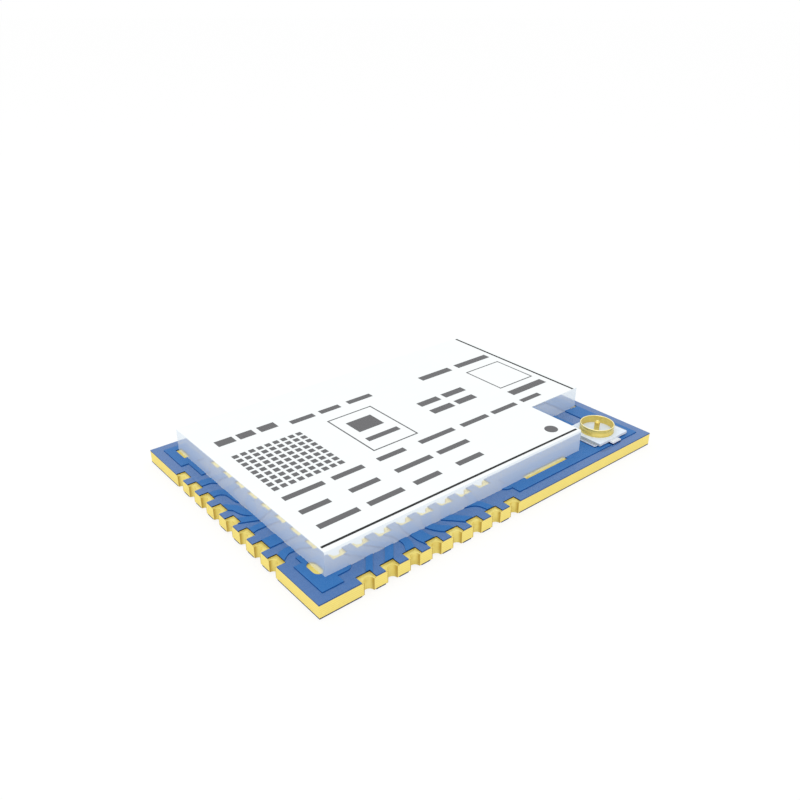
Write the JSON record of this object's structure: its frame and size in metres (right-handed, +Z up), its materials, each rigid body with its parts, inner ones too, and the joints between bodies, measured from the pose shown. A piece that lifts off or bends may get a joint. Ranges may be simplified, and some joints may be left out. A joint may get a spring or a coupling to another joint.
{
  "type": "radio module",
  "caption": "Flat radio module: blue circuit board with half-hole solder pads on three edges, an L-shaped metal shield can and a small round coax jack in its corner.",
  "frame": {"origin": "centre of the underside of the board, where it lies on a main board", "axes": "+X along the board's length towards the jack's end, +Y from the jack's side to the other long side, +Z up out of the component side"},
  "size_m": [0.0226, 0.016, 0.0021],
  "materials": {
    "laminate": "cut glass-epoxy edge, matt",
    "solder_mask": "blue lacquer, satin",
    "gold_plate": "gold plated, satin",
    "inner_copper": "bare copper, under the mask",
    "can_sheet": "tinned sheet, bright",
    "jack_plastic": "moulded, pale",
    "jack_gold": "gold plated, bright",
    "chip_mould": "moulded, black",
    "tin_plate": "tin plated, satin",
    "ceramic": "fired ceramic, matt",
    "white_ceramic": "fired ceramic, matt",
    "solder": "solder, bright"
  },
  "bodies": {
    "root": {"laminate": "laminate", "top_solder_mask": "solder_mask", "bottom_solder_mask": "solder_mask", "top_copper": "gold_plate", "edge_pad_01": "gold_plate", "edge_pad_02": "gold_plate", "edge_pad_03": "gold_plate", "edge_pad_04": "gold_plate", "edge_pad_05": "gold_plate", "edge_pad_06": "gold_plate", "edge_pad_07": "gold_plate", "edge_pad_08": "gold_plate", "edge_pad_09": "gold_plate", "edge_pad_10": "gold_plate", "edge_pad_11": "gold_plate", "edge_pad_12": "gold_plate", "edge_pad_13": "gold_plate", "edge_pad_14": "gold_plate", "edge_pad_15": "gold_plate", "edge_pad_16": "gold_plate", "edge_pad_17": "gold_plate", "edge_pad_18": "gold_plate", "edge_pad_19": "gold_plate", "edge_pad_20": "gold_plate", "edge_pad_21": "gold_plate", "edge_pad_22": "gold_plate", "edge_pad_23": "gold_plate", "edge_pad_24": "gold_plate", "bottom_copper": "inner_copper", "shield_can": "can_sheet", "jack_insulator": "jack_plastic", "jack_ground_contact": "jack_gold", "jack_signal_contact": "jack_gold", "radio_chip": "chip_mould", "amplifier_chip": "chip_mould", "resistor_bodies": "chip_mould", "radio_chip_leads": "tin_plate", "amplifier_chip_leads": "tin_plate", "main_crystal_lid": "tin_plate", "clock_crystal_lid": "tin_plate", "filter_ends": "tin_plate", "capacitor_ends": "tin_plate", "resistor_ends": "tin_plate", "inductor_ends": "tin_plate", "main_crystal_base": "ceramic", "clock_crystal_base": "ceramic", "filter_body": "ceramic", "capacitor_bodies": "ceramic", "inductor_bodies": "white_ceramic", "shield_solder": "solder", "jack_solder": "solder", "chip_solder": "solder"}
  },
  "joints": []
}
